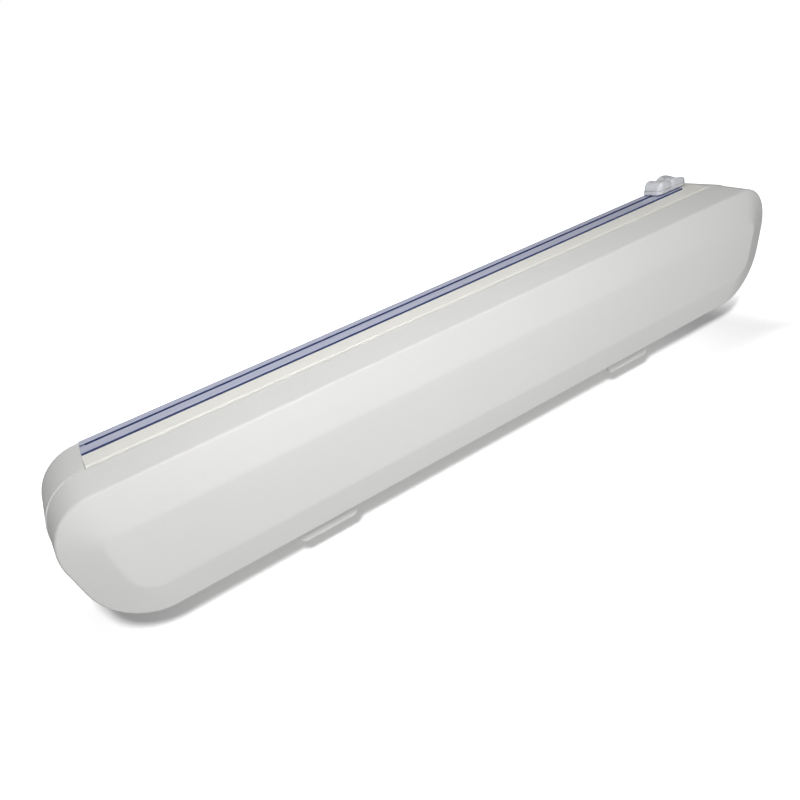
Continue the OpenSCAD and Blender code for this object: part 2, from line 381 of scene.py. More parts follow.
def noise(nt, vec, scale, detail=3.0, rough=0.5, stretch=None):
    if stretch:
        mp = nt.nodes.new("ShaderNodeMapping")
        mp.inputs["Scale"].default_value = stretch
        nt.links.new(vec, mp.inputs["Vector"])
        vec = mp.outputs[0]
    n = nt.nodes.new("ShaderNodeTexNoise")
    n.inputs["Scale"].default_value = scale
    n.inputs["Detail"].default_value = detail
    n.inputs["Roughness"].default_value = rough
    nt.links.new(vec, n.inputs["Vector"])
    return n.outputs["Fac"]


def ramp(nt, fac, stops):
    r = nt.nodes.new("ShaderNodeValToRGB")
    el = r.color_ramp.elements
    while len(el) < len(stops):
        el.new(0.5)
    for e, (pos, col) in zip(el, stops):
        e.position = pos
        e.color = tuple(col) + (1.0,) if len(col) == 3 else col
    nt.links.new(fac, r.inputs["Fac"])
    return r.outputs["Color"]


def spread(nt, fac, lo, hi):
    m = nt.nodes.new("ShaderNodeMapRange")
    m.inputs["From Min"].default_value = 0.3
    m.inputs["From Max"].default_value = 0.7
    m.inputs["To Min"].default_value = lo
    m.inputs["To Max"].default_value = hi
    nt.links.new(fac, m.inputs["Value"])
    return m.outputs["Result"]


def bump(nt, height, bsdf, strength, distance, prev=None):
    b = nt.nodes.new("ShaderNodeBump")
    b.inputs["Strength"].default_value = strength
    b.inputs["Distance"].default_value = distance
    nt.links.new(height, b.inputs["Height"])
    if prev is not None:
        nt.links.new(prev, b.inputs["Normal"])
    nt.links.new(b.outputs[0], bsdf.inputs["Normal"])
    return b.outputs[0]


def plastic(name, base, vary=0.012, rough=(0.42, 0.52), grain=1400.0,
            grain_h=0.00004, spec=0.5, coat=0.0):
    m, nt, bsdf, vec = material(name)
    big = noise(nt, vec, 9.0, 2.0)
    fine = noise(nt, vec, grain, 2.0, 0.55)
    lo = [max(0.0, c - vary) for c in base]
    hi = [min(1.0, c + vary) for c in base]
    nt.links.new(ramp(nt, big, [(0.3, lo), (0.7, hi)]),
                 bsdf.inputs["Base Color"])
    mid = noise(nt, vec, 60.0, 3.0)
    nt.links.new(spread(nt, mid, rough[0], rough[1]),
                 bsdf.inputs["Roughness"])
    bsdf.inputs["Specular IOR Level"].default_value = spec
    bsdf.inputs["Coat Weight"].default_value = coat
    bsdf.inputs["Coat Roughness"].default_value = 0.2
    n1 = bump(nt, fine, bsdf, 0.35, grain_h)
    bump(nt, mid, bsdf, 0.05, 0.0002, n1)
    return m


WHITE = (0.84, 0.84, 0.825)
mat_cover = plastic("cover_white", WHITE, rough=(0.44, 0.54))
mat_case = plastic("case_white", (0.82, 0.82, 0.80), rough=(0.46, 0.56))
mat_inner = plastic("inner_white", (0.80, 0.80, 0.78), rough=(0.40, 0.50))
mat_strip = plastic("strip_ivory", (0.92, 0.91, 0.86), rough=(0.40, 0.5))
mat_cutter = plastic("cutter_white", (0.74, 0.755, 0.78), rough=(0.28, 0.36),
                     grain=2200.0, grain_h=0.00002, coat=0.15)


def rail_material():
    m, nt, bsdf, vec = material("rail_blue")
    streak = noise(nt, vec, 55.0, 3.0, stretch=(0.35, 6.0, 6.0))
    nt.links.new(ramp(nt, streak, [(0.25, (0.50, 0.54, 0.76)),
                                   (0.75, (0.60, 0.63, 0.82))]),
                 bsdf.inputs["Base Color"])
    rough = noise(nt, vec, 120.0, 2.0)
    nt.links.new(spread(nt, rough, 0.16, 0.26), bsdf.inputs["Roughness"])
    bsdf.inputs["Subsurface Weight"].default_value = 0.0
    bsdf.inputs["Transmission Weight"].default_value = 0.12
    bsdf.inputs["IOR"].default_value = 1.49
    bsdf.inputs["Coat Weight"].default_value = 0.4
    bsdf.inputs["Coat Roughness"].default_value = 0.1
    lines = noise(nt, vec, 400.0, 2.0, stretch=(0.02, 1.0, 1.0))
    bump(nt, lines, bsdf, 0.12, 0.00005)
    return m


def steel_material(name="steel", tint=(0.60, 0.61, 0.63)):
    m, nt, bsdf, vec = material(name)
    lines = noise(nt, vec, 900.0, 3.0, stretch=(0.06, 1.0, 1.0))
    lo = [c * 0.88 for c in tint]
    nt.links.new(ramp(nt, lines, [(0.3, lo), (0.7, tint)]),
                 bsdf.inputs["Base Color"])
    bsdf.inputs["Metallic"].default_value = 1.0
    nt.links.new(spread(nt, lines, 0.22, 0.34), bsdf.inputs["Roughness"])
    bump(nt, lines, bsdf, 0.1, 0.00003)
    return m


def card_material():
    m, nt, bsdf, vec = material("core_card")
    fibre = noise(nt, vec, 260.0, 4.0, 0.6, stretch=(0.4, 1.0, 1.0))
    col = ramp(nt, fibre, [(0.25, (0.33, 0.22, 0.12)),
                           (0.75, (0.46, 0.32, 0.19))])
    sep = nt.nodes.new("ShaderNodeSeparateXYZ")
    nt.links.new(vec, sep.inputs[0])
    nt.links.new(col, bsdf.inputs["Base Color"])
    nt.links.new(spread(nt, fibre, 0.75, 0.9), bsdf.inputs["Roughness"])
    bump(nt, fibre, bsdf, 0.3, 0.0001)
    return m


def film_material():
    m, nt, bsdf, vec = material("film_clear")
    # wound edges: fine rings about the roll's axis; slight lengthwise tone
    mp = nt.nodes.new("ShaderNodeMapping")
    mp.inputs["Location"].default_value = (0.0, 0.026, 0.003)
    nt.links.new(vec, mp.inputs["Vector"])
    sep = nt.nodes.new("ShaderNodeSeparateXYZ")
    nt.links.new(mp.outputs[0], sep.inputs[0])
    yy = nt.nodes.new("ShaderNodeMath"); yy.operation = "MULTIPLY"
    zz = nt.nodes.new("ShaderNodeMath"); zz.operation = "MULTIPLY"
    nt.links.new(sep.outputs[1], yy.inputs[0])
    nt.links.new(sep.outputs[1], yy.inputs[1])
    nt.links.new(sep.outputs[2], zz.inputs[0])
    nt.links.new(sep.outputs[2], zz.inputs[1])
    add = nt.nodes.new("ShaderNodeMath"); add.operation = "ADD"
    nt.links.new(yy.outputs[0], add.inputs[0])
    nt.links.new(zz.outputs[0], add.inputs[1])
    rad = nt.nodes.new("ShaderNodeMath"); rad.operation = "SQRT"
    nt.links.new(add.outputs[0], rad.inputs[0])
    mul = nt.nodes.new("ShaderNodeMath"); mul.operation = "MULTIPLY"
    mul.inputs[1].default_value = 9000.0
    nt.links.new(rad.outputs[0], mul.inputs[0])
    sn = nt.nodes.new("ShaderNodeMath"); sn.operation = "SINE"
    nt.links.new(mul.outputs[0], sn.inputs[0])
    wide = noise(nt, vec, 70.0, 4.0, 0.6, stretch=(0.25, 1.0, 1.0))
    nt.links.new(ramp(nt, wide, [(0.3, (0.62, 0.70, 0.76)),
                                 (0.7, (0.76, 0.82, 0.86))]),
                 bsdf.inputs["Base Color"])
    nt.links.new(spread(nt, wide, 0.08, 0.18), bsdf.inputs["Roughness"])
    bsdf.inputs["Coat Weight"].default_value = 0.6
    bsdf.inputs["Coat Roughness"].default_value = 0.06
    n1 = bump(nt, sn.outputs[0], bsdf, 0.25, 0.00004)
    bump(nt, wide, bsdf, 0.25, 0.0008, n1)
    return m


mat_rail = rail_material()
mat_steel = steel_material()
mat_card = card_material()
mat_film = film_material()
mat_stop = plastic("stop_grey", (0.30, 0.33, 0.45), vary=0.01,
                   rough=(0.4, 0.5))
# painted shade: a dark navy for the rail's groove and front face, where shade falls
mat_rail_painted_shade = plastic("rail_painted_shade", (0.05, 0.07, 0.20), vary=0.004,
                   rough=(0.35, 0.45), grain=800.0)


def finish_piece(o, mat, body, nodes=(), angle=32.0,
                 weighted=True):
    o.data.materials.clear()
    o.data.materials.append(mat)
    shade(o, angle, weighted)
    if nodes:
        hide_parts(*nodes)
    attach(o, body)
    return o


# ---------------------------------------------------------------- the shared sizes, mm
LUG_X, LUG_W = 104.0, 33.0
AX_Y, AX_Z = -34.0, -35.4
ROLL_Y, ROLL_Z = -26.0, -3.0
DECK_X = 179.5
RAIL_TOP = 33.8
PARK = 166.5
MECH = PARK - 4.5
LUG_LOW = 38.5
PAD_Z = 33.4
GROOVE = -8.0
BASE_Z = RAIL_TOP + 0.35
GRIP_Z = BASE_Z + 1.8


def pin_tool(x0, x1, y, z, r, name="tool", n=48):
    o = lathe(name, [(x0, 0.0), (x0, r), (x1, r), (x1, 0.0)], "x",
              (0, y, z), n=n, closed=False)
    return o


def rod_y_tool(y0, y1, x, z, r, n=48):
    return lathe("tool", [(y0, 0.0), (y0, r), (y1, r), (y1, 0.0)], "y",
                 (x, 0, z), n=n, closed=False)


def rod_z_tool(z0, z1, x, y, r, n=32):
    return lathe("tool", [(z0, 0.0), (z0, r), (z1, r), (z1, 0.0)], "z",
                 (x, y, 0), n=n, closed=False)


# ---------------------------------------------------------------- front cover
def make_cover():
    rings = [
        ring(188 - 13.99, 0.01, 0.005, -54.0),
        ring(188 - 7.0, 14 - 7.0, (1.2, 3.4), -54.0),
        ring(188, 14, (5.0, 10.0), -54.0),
        ring(205, 30, 24.5, -48.0),
        ring(205.05, 30.05, 24.55, -47.0),
        ring(206.85, 31.85, 26.35, -28.15),
        ring(204.65, 29.65, 24.15, -28.15),
        ring(202.9, 27.9, 22.4, -46.6),
        ring(187.6, 13.6, (4.6, 9.6), -51.8),
        ring(187.6 - 13.59, 0.01, 0.005, -51.8),
    ]
    rings.pop(4)
    f = [0, 0, 1.3, 1.1, 0.35, 0.35, 1.0, 2.2, 0]
    me = loft("front_cover_shell", rounded_rings(rings, f, 6))
    o = new_object("front_cover_shell", me)
    adds = []
    for s in (-1, 1):
        x = s * LUG_X
        # the lug's plate, with its rounded lower corners
        out = round_poly([(x - 16.5, -29.2), (x + 16.5, -29.2),
                          (x + 16.5, -LUG_LOW), (x - 16.5, -LUG_LOW)],
                         [0, 0, 4.6, 4.6], 8)
        adds.append(extrude_axis("lug", out, -42.0, -39.8, "y", 0.35))
        for e in (-1, 1):
            cx = x + e * 13.75
            arc = []
            for i in range(25):
                t = math.radians(180 + 180 * i / 24)
                arc.append((AX_Y + 3 * math.cos(t), AX_Z + 3 * math.sin(t)))
            prof = [(-41.9, -30.2), (-41.9, -34.7), (-39.0, -35.0)] + arc \
                + [(AX_Y + 3, -30.9)]
            adds.append(extrude_x("ear", prof, cx - 2.75, cx + 2.75, 0.25))
    for s in (-1, 1):
        x = s * 186
        prof = round_poly([(-33, 24.8), (-24, 24.8), (-24, 26.3),
                           (-29.4, 26.3), (-29.4, 29.0), (-33, 29.0)],
                          [0.4, 0.6, 0.6, 0.8, 0, 0], 4)
        adds.append(extrude_x("tongue", prof, x - 3, x + 3, 0.25))
    boolean(o, adds, "UNION")
    boolean(o, [pin_tool(s * LUG_X - 20, s * LUG_X + 20, AX_Y, AX_Z, 1.5)
                for s in (-1, 1)], "DIFFERENCE")
    finish_piece(o, mat_cover, "cover", ["front_cover"], 34)
    return o


# ---------------------------------------------------------------- back case
def make_case():
    rings = [
        ring(208.1 - 27.6 + 0.001, 0.001, 0.001, 0.0),
        ring(208.1 - 14, 33.1 - 14, 13.6, 0.0),
        ring(208.1, 33.1, 27.6, 0.0),
        ring(207.2, 32.2, 26.7, -27.85),
        ring(204.6, 29.6, 24.1, -27.85),
        ring(205.9, 30.9, 25.4, -2.2),
        ring(205.9 - 25.4 + 0.001, 0.001, 0.001, -2.2),
    ]
    f = [0, 0, 0.9, 0.28, 0.35, 1.2, 0]
    me = loft("back_shell_moulding", rounded_rings(rings, f, 6))
    o = new_object("back_shell_moulding", me)
    boolean(o, [
        box_obj("t", (-DECK_X, -40, 27.5), (DECK_X, -1.35, 45)),
        box_obj("t", (-DECK_X, -3, 32.4), (DECK_X, 3, 45)),
    ], "DIFFERENCE")
    adds = [box_obj("t", (-DECK_X - 2.2, -27.2, 25.5),
                    (DECK_X + 2.2, -1.0, 27.5))]
    for s in (-1, 1):
        adds.append(box_obj("t", (s * 180.6 - 1.1, -27.6, 26.5),
                            (s * 180.6 + 1.1, -1.0, 30.4)))
    for x in (-75, 0, 75):
        adds.append(box_obj("t", (x - 0.9, -3.4, -31.2),
                            (x + 0.9, -1.0, 26.5)))
    for s in (-1, 1):
        x = s * LUG_X
        arc = []
        for i in range(33):
            t = math.radians(90 + 180 * i / 32)
            arc.append((AX_Y + 2.8 * math.cos(t), AX_Z + 2.8 * math.sin(t)))
        prof = [(-27.0, -31.2), (-27.0, -34.2), (-27.6, -34.8),
                (AX_Y + 1.2, -34.8 + 2.0)] + arc + [
                (-18.4, -38.2), (-17.0, -36.8), (-17.0, -31.2)]
        adds.append(extrude_x("knuckle", prof, x - 10.5, x + 10.5, 0.3))
    boolean(o, adds, "UNION")
    cuts = []
    for s in (-1, 1):
        cuts.append(pin_tool(s * LUG_X - 12, s * LUG_X + 12,
                             AX_Y, AX_Z, 1.55))
        cuts.append(rod_y_tool(-5, 2, s * 178, 0, 2.25))
        for z in (-9, 3):
            cuts.append(rod_y_tool(-4, -0.4, s * 165, z, 1.5))
    for x in (-150, 0, 150):
        cuts.append(rod_z_tool(24, 29, x, -13.6, 1.6))
    for x in (-120, 30, 120):
        cuts.append(rod_z_tool(24, 29, x, -22.2, 1.6))
    boolean(o, cuts, "DIFFERENCE")
    finish_piece(o, mat_case, "case", ["back_shell"], 34)
    return o


# ---------------------------------------------------------------- strip and rail
def make_strip():
    y0, y1 = -27.2, -17.2
    prof = round_poly(
        [(y0, 27.5), (y0, 30.55), (y0, 32.05), (y0 + 0.75, 32.12),
         (y0 + 0.95, 31.65), (y0 + 1.3, 31.7), (y0 + 1.5, 32.2),
         (y1, PAD_Z), (y1, 27.5), (y1 - 1.6, 27.5), (y1 - 1.6, 31.0), (y0 + 1.6, 30.0),
         (y0 + 1.6, 27.5)],
        [0.1, 0, 0.3, 0.2, 0.1, 0.1, 0.2, 0.55, 0.1, 0.1, 0.8, 0.8, 0.1],
        5)
    o = extrude_x("film_strip_moulding", prof, -179.2, 179.2, 0.25, 40)
    pad = box_obj("t", (171.2, y1 - 0.8, 27.5), (179.2, -1.5, PAD_Z), 0.35)
    boolean(o, [pad], "UNION")
    boolean(o, [rod_z_tool(27.5, 31.2, x, -22.2, 2.8)
                for x in (-120, 30, 120)], "UNION")
    boolean(o, [rod_z_tool(26.5, 30.2, x, -22.2, 1.25)
                for x in (-120, 30, 120)], "DIFFERENCE")
    return finish_piece(o, mat_strip, "case", ["film_strip"],
                        34)


def make_rail():
    y0, y1, g = -16.2, -1.5, GROOVE
    w, c = 1.2, 3.0
    prof = round_poly(
        [(y0, 27.5), (y0, RAIL_TOP), (g - w, RAIL_TOP), (g - w, 31.3),
         (g - c, 31.3), (g - c, 28.7), (g + c, 28.7), (g + c, 31.3),
         (g + w, 31.3), (g + w, RAIL_TOP), (y1, RAIL_TOP), (y1, 27.5)],
        [0.1, 0.3, 0.2, 0.15, 0.3, 0.4, 0.4, 0.3, 0.15, 0.2, 0.5, 0.1], 5)
    o = extrude_x("cutter_rail_extrusion", prof, -179.2, 171.0, 0.2, 40)
    boolean(o, [rod_z_tool(26.5, 31.9, x, -13.6, 1.25)
                for x in (-150, 0, 150)], "DIFFERENCE")
    finish_piece(o, mat_rail, "case", ["cutter_rail"], 34)
    # painted shade: the groove's walls and chamber, and the rail's front face,
    # take a dark navy in place of the shade in the groove and in the gap before the
    # strip
    o.data.materials.append(mat_rail_painted_shade)
    for p in o.data.polygons:
        y, z = p.center.y / MM, p.center.z / MM
        if abs(y - g) < w + 0.02 and 28.6 < z and p.normal.z < 0.75:
            p.material_index = 1
        if abs(y - g) < c + 0.02 and 28.6 < z < 31.4:
            p.material_index = 1
        if y < y0 + 0.35 and z > 28 and p.normal.z < 0.6:
            p.material_index = 1
    for x, nm in ((-178.1, "left"), (169.9, "right")):
        prof = round_poly(
            [(g - 2.95, 28.75), (g + 2.95, 28.75), (g + 2.95, 31.2),
             (g + 1.15, 31.2), (g + 1.15, 33.5), (g - 1.15, 33.5),
             (g - 1.15, 31.2), (g - 2.95, 31.2)],
            [0.4, 0.4, 0.4, 0.2, 0.3, 0.3, 0.2, 0.4], 4)
        st = extrude_x("rail_stop_%s_plug" % nm, prof, x - 1.0, x + 1.0, 0.2)
        finish_piece(st, mat_stop, "case", ["rail_stop_" + nm])


# ---------------------------------------------------------------- cutter
def outline_at(s, n=20):
    """The cutter's outline from above, inset by s: blunt left, round right."""
    L, W = 25.0, 13.0
    r0 = 3.0 - s * 0.6
    x0, x1 = -L / 2 + s, L / 2 - s
    h = W / 2 - s
    R = max(min(h - 0.02, 6.3 - s * 0.9), 0.06)
    pts = []

    def arc(cx, cy, r, a0, a1, k):
        for i in range(k + 1):
            t = math.radians(a0 + (a1 - a0) * i / k)
            pts.append((cx + r * math.cos(t), cy + r * math.sin(t)))
    r0 = max(min(r0, h - 0.05), 0.05)
    arc(x1 - R, h - R, R, 0, 90, n)
    for i in range(1, 24):
        pts.append((x1 - R + (x0 + r0 - x1 + R) * i / 24, h))
    arc(x0 + r0, h - r0, r0, 90, 180, n // 2)
    for i in range(1, 6):
        pts.append((x0, h - r0 - (2 * h - 2 * r0) * i / 6))
    arc(x0 + r0, -h + r0, r0, 180, 270, n // 2)
    for i in range(1, 24):
        pts.append((x0 + r0 + (x1 - R - x0 - r0) * i / 24, -h))
    arc(x1 - R, -h + R, R, 270, 360, n)
    out = []
    for (x, y) in pts:
        k = 1.0 - 0.085 * math.exp(-((x + 2.6) / 1.5) ** 2)
        out.append((x, y * k))
    return out


def spline(xs, ys, x):
    """Smooth curve through points, by Catmull-Rom."""
    if x <= xs[0]:
        return ys[0]
    if x >= xs[-1]:
        return ys[-1]
    i = max(k for k in range(len(xs) - 1) if xs[k] <= x)
    t = (x - xs[i]) / (xs[i + 1] - xs[i])
    y0 = ys[max(i - 1, 0)]
    y1, y2 = ys[i], ys[i + 1]
    y3 = ys[min(i + 2, len(ys) - 1)]
    return 0.5 * ((2 * y1) + (-y0 + y2) * t
                  + (2 * y0 - 5 * y1 + 4 * y2 - y3) * t * t
                  + (-y0 + 3 * y1 - 3 * y2 + y3) * t * t * t)


def top_of_grip(x, y):
    """Height of the grip: a blunt lobe, a dip, then a dished thumb pad."""
    xs = [-12.4, -11.4, -10.0, -8.2, -6.6, -5.2, -3.8, -2.6, -1.2, 0.4,
          2.4, 5.0, 8.0, 10.4, 12.4]
    zs = [38.2, 39.3, 39.95, 40.12, 40.0, 39.5, 38.9, 38.75, 39.3, 39.9,
          40.1, 39.9, 39.1, 38.0, 36.7]
    z = spline(xs, zs, x)
    # the pad is pressed in inside its rim
    d = math.hypot((x - 5.2) / 6.3, y / 5.4)
    if d < 1.0:
        t = min(max((1.0 - d) / 0.32, 0.0), 1.0)
        z -= 0.6 * t * t * (3 - 2 * t)
    # the round pad leans to the front
    t = min(max((x + 1.0) / 4.0, 0.0), 1.0)
    z -= 0.08 * (6.3 - y) * t * t * (3 - 2 * t)
    return min(max(z, GRIP_Z + 0.75), 40.15)


def make_cutter():
    # base plate
    rings = []
    for s, z in ((0.35, BASE_Z), (0.0, BASE_Z + 0.35), (0.0, BASE_Z + 1.6),
                 (0.12, BASE_Z + 1.8), (0.6, BASE_Z + 1.8)):
        rings.append([Vector((p[0] + PARK, p[1] + GROOVE, z))
                      for p in outline_at(s)])
    me = loft("cutter_base_plate", rings, close_ends=True)
    o = new_object("cutter_base_plate", me)
    boolean(o, [box_obj("t", (MECH - 7.5, GROOVE - 0.35, BASE_Z - 1),
                        (MECH + 7.5, GROOVE + 0.35, BASE_Z + 1.2)),
                rod_z_tool(BASE_Z - 1, BASE_Z + 3, MECH, GROOVE, 1.6)],
            "DIFFERENCE")
    finish_piece(o, mat_cutter, "cutter", ["cutter_base"],
                 40)
    # saddle grip: rings that climb the side and close over the crown
    rings = []
    for z, ins in ((0.0, 0.3), (0.12, 0.18), (0.5, 0.18)):
        rings.append([Vector((p[0] + PARK, p[1] + GROOVE, GRIP_Z + z))
                      for p in outline_at(ins)])
    steps = 26
    for i in range(steps + 1):
        u = i / steps
        if u < 0.35:
            a = u / 0.35 * math.pi / 2
            ins = 0.2 + 0.75 * (1 - math.cos(a))
            f = 0.35 + 0.65 * math.sin(a)
        else:
            ins = 0.95 + (6.2 - 0.95) * (u - 0.35) / 0.65
            f = 1.0
        pts = []
        for p in outline_at(min(ins, 6.3)):
            zt = top_of_grip(p[0], p[1])
            pts.append(Vector((p[0] + PARK, p[1] + GROOVE,
                               GRIP_Z + f * (zt - GRIP_Z))))
        rings.append(pts)
    me = loft("cutter_grip_saddle", rings, close_ends=True)
    g = new_object("cutter_grip_saddle", me)
    sub = g.modifiers.new("s", "SUBSURF")
    sub.levels = sub.render_levels = 1
    apply_all(g)
    boolean(g, [rod_z_tool(GRIP_Z - 1, GRIP_Z + 2.2, MECH, GROOVE, 1.2)],
            "DIFFERENCE")
    finish_piece(g, mat_cutter, "cutter", ["cutter_grip"],
                 45)
    # runner foot
    foot = box_obj("cutter_foot_runner", (MECH - 6, GROOVE - 2.6, 29.0),
                   (MECH + 6, GROOVE + 2.6, 31.0), 0.45)
    boolean(foot, [box_obj("t", (MECH - 2.4, GROOVE - 0.65, 30.6),
                           (MECH + 2.4, GROOVE + 0.65, BASE_Z))], "UNION")
    boolean(foot, [rod_z_tool(27, BASE_Z + 1, MECH, GROOVE, 0.4)],
            "DIFFERENCE")
    finish_piece(foot, mat_inner, "cutter", ["cutter_foot"])
    # blade: two slanted edges, one for each direction
    blades = []
    for s in (-1, 1):
        pts = [(2.5, 31.6), (2.5, BASE_Z + 1.2), (7.2, BASE_Z + 1.2),
               (7.2, BASE_Z + 0.2), (4.4, 31.6)]
        pts = [(MECH + s * a, b) for a, b in pts]
        blades.append(extrude_axis("b", [Vector(p) for p in pts],
                                   GROOVE - 0.2, GROOVE + 0.2, "y", 0.08))
    bl = join("cutter_blade_edges", blades)
    finish_piece(bl, mat_steel, "cutter", ["cutter_blade"], 25)
    prof = [(29.2, 0.0), (29.2, 0.4), (BASE_Z + 0.6, 0.4),
            (BASE_Z + 0.75, 1.2), (GRIP_Z + 1.8, 1.2), (GRIP_Z + 2.0, 1.0),
            (GRIP_Z + 2.0, 0.0)]
    sc = lathe("cutter_screw_turned", prof, "z", (MECH, GROOVE, 0), 32,
               False)
    finish_piece(sc, mat_steel, "cutter", ["cutter_screw"], 25)


# ---------------------------------------------------------------- roll
def make_roll():
    # film: a wound ring with slightly uneven layers at both ends
    prof = []
    n = 26
    for i in range(n + 1):
        r = 17.0 + 3.5 * i / n
        d = 0.16 * math.sin(i * 2.4) * (0.3 + 0.7 * math.sin(i * 0.9) ** 2)
        prof.append((150.0 - 0.2 + min(d, 0.2), r - (0.12 if i == n else 0)))
    ends = list(prof)
    mids = [(150.0 - 0.8, 20.5)] + [(150 - 12.5 * k, 20.5 - 0.05 * (k % 2))
                                    for k in range(1, 24)] + [(-149.2, 20.5)]
    back = [(-a, b) for a, b in reversed(ends)]
    loop = ends + mids + back
    o = lathe("film_roll_wound", loop, "x", (0, ROLL_Y, ROLL_Z), 96)
    finish_piece(o, mat_film, "roll", ["film_roll"], 50)
    prof = smooth_profile([(-150, 15), (-150, 17), (150, 17), (150, 15)],
                          0.3, 3)
    o = lathe("core_tube_card", prof, "x", (0, ROLL_Y, ROLL_Z), 96)
    finish_piece(o, mat_card, "roll", ["core_tube"], 50)
    for s, nm in ((-1, "left"), (1, "right")):
        prof = smooth_profile(
            [(140, 13.1), (140, 15), (150, 15), (150, 18.5), (152, 18.5),
             (152, 6.2), (153.2, 4.0), (162, 4.0), (162, 1.5), (148.5, 1.5),
             (148.5, 13)],
            [0.2, 0.6, 0, 0.5, 0.8, 0.8, 0.6, 0.5, 0.4, 0.3, 0.6], 4)
        prof = [(s * a, b) for a, b in prof]
        o = lathe("hub_%s_turned" % nm, prof, "x", (0, ROLL_Y, ROLL_Z), 72)
        # finger holes in the flange
        tools = []
        for k in range(6):
            t = math.radians(60 * k + 30)
            x0, x1 = (148, 153.5) if s > 0 else (-153.5, -148)
            tools.append(pin_tool(x0, x1, ROLL_Y + 10 * math.cos(t),
                                  ROLL_Z + 10 * math.sin(t), 2.2, n=24))
        boolean(o, tools, "DIFFERENCE")
        finish_piece(o, mat_inner, "roll", ["hub_" + nm], 40)


def make_cradles():
    for s, nm in ((-1, "left"), (1, "right")):
        R = 4.06
        outline = [(-2.2, -16), (-2.2, 10), (-8, 10), (-18, 7.5),
                   (-32, 4.5), (-33, 3.5), (-33, ROLL_Z + R)]
        arc = []
        for i in range(25):
            t = math.radians(90 - 180 * i / 24)
            arc.append((ROLL_Y + R * math.cos(t), ROLL_Z + R * math.sin(t)))
        outline += arc + [(-33, ROLL_Z - R), (-33, -10), (-31, -12),
                          (-18, -14), (-8, -16)]
        rad = [0, 0, 2, 3, 1, 0.5, 0.8] + [0] * 25 + [0.8, 1.5, 1.5, 3, 2]
        prof = round_poly(outline, rad, 4)
        x0, x1 = (154, 160) if s > 0 else (-160, -154)
        arm = extrude_x("cradle_%s_bracket" % nm, prof, x0, x1, 0.4)
        f0, f1 = (157, 170) if s > 0 else (-170, -157)
        foot = box_obj("t", (f0, -4.7, -16), (f1, -2.2, 10), 0.5)
        g0, g1 = (159, 167) if s > 0 else (-167, -159)
        gus = []
        for zz in (-3.9, -2.1):
            pass
        boolean(arm, [foot], "UNION")
        boolean(arm, [rod_y_tool(-6, 0, s * 165, z, 1.6) for z in (-9, 3)],
                "DIFFERENCE")
        finish_piece(arm, mat_inner, "case", ["cradle_" + nm],
                     34)


# ---------------------------------------------------------------- pins and screws
def make_pins():
    for s, nm in ((-1, "left"), (1, "right")):
        a, b = -16.5, 16.5
        prof = [(a, 0.0), (a, 1.3), (a + 0.2, 1.5), (b, 1.5), (b, 2.0),
                (b + 0.15, 2.3), (b + 0.55, 2.25), (b + 0.8, 1.7),
                (b + 0.8, 0.0)]
        prof = [(s * p, r) for p, r in prof]
        o = lathe("hinge_pin_%s_turned" % nm, prof, "x",
                  (s * LUG_X, AX_Y, AX_Z), 40, False)
        finish_piece(o, mat_steel, "cover", ["hinge_pin_" + nm], 30)


def screw_z(x, y, z_head, z_tip, name):
    """A pan head screw pointing up, its head at the bottom."""
    h = z_head
    prof = [(h, 0.0), (h, 1.6), (h + 0.25, 2.25), (h + 0.7, 2.6),
            (h + 1.6, 2.6), (h + 1.6, 1.25), (z_tip - 0.8, 1.25),
            (z_tip, 0.3), (z_tip, 0.0)]
    o = lathe(name, prof, "z", (x, y, 0), 36, False)
    boolean(o, [box_obj("t", (x - 1.4, y - 0.25, h - 1), (x + 1.4, y + 0.25,
                                                         h + 0.8)),
                box_obj("t", (x - 0.25, y - 1.4, h - 1), (x + 0.25, y + 1.4,
                                                         h + 0.8))],
            "DIFFERENCE")
    return o


def make_screws():
    objs = []
    for x in (-150, 0, 150):
        objs.append(screw_z(x, -13.6, 23.9, 31.6, "s"))
    for x in (-120, 30, 120):
        objs.append(screw_z(x, -22.2, 23.9, 30.2, "s"))
    o = join("deck_screws_set", objs)
    finish_piece(o, mat_steel, "case", ["deck_screws"], 25)
    objs = []
    for s in (-1, 1):
        for z in (-9, 3):
            x = s * 165
            prof = [(-6.3, 0.0), (-6.3, 1.7), (-6.0, 2.4), (-5.5, 2.8),
                    (-4.7, 2.8), (-4.7, 1.5), (-1.2, 1.5), (-0.6, 0.5),
                    (-0.6, 0.0)]
            q = lathe("q", prof, "y", (x, 0, z), 36, False)
            boolean(q, [box_obj("t", (x - 1.5, -8, z - 0.28),
                                (x + 1.5, -5.5, z + 0.28)),
                        box_obj("t", (x - 0.28, -8, z - 1.5),
                                (x + 0.28, -5.5, z + 1.5))], "DIFFERENCE")
            objs.append(q)
    o = join("cradle_screws_set", objs)
    finish_piece(o, mat_steel, "case", ["cradle_screws"], 25)


make_cover()
make_case()
make_strip()
make_rail()
make_cutter()
make_roll()
make_cradles()
make_pins()
make_screws()

# ---------------------------------------------------------------- floor and light
bpy.ops.mesh.primitive_plane_add(size=60.0, location=(0, 0, -0.0625))
floor = bpy.context.object
floor.name = "studio_floor"
fm, fnt, fb, fvec = material("floor_paper")
fn = noise(fnt, fvec, 3.0, 2.0)
fnt.links.new(ramp(fnt, fn, [(0.3, (0.90, 0.90, 0.90)),
                             (0.7, (0.92, 0.92, 0.92))]),
              fb.inputs["Base Color"])
fb.inputs["Roughness"].default_value = 0.95
fb.inputs["Specular IOR Level"].default_value = 0.0
fb.inputs["Emission Color"].default_value = (1, 1, 1, 1)
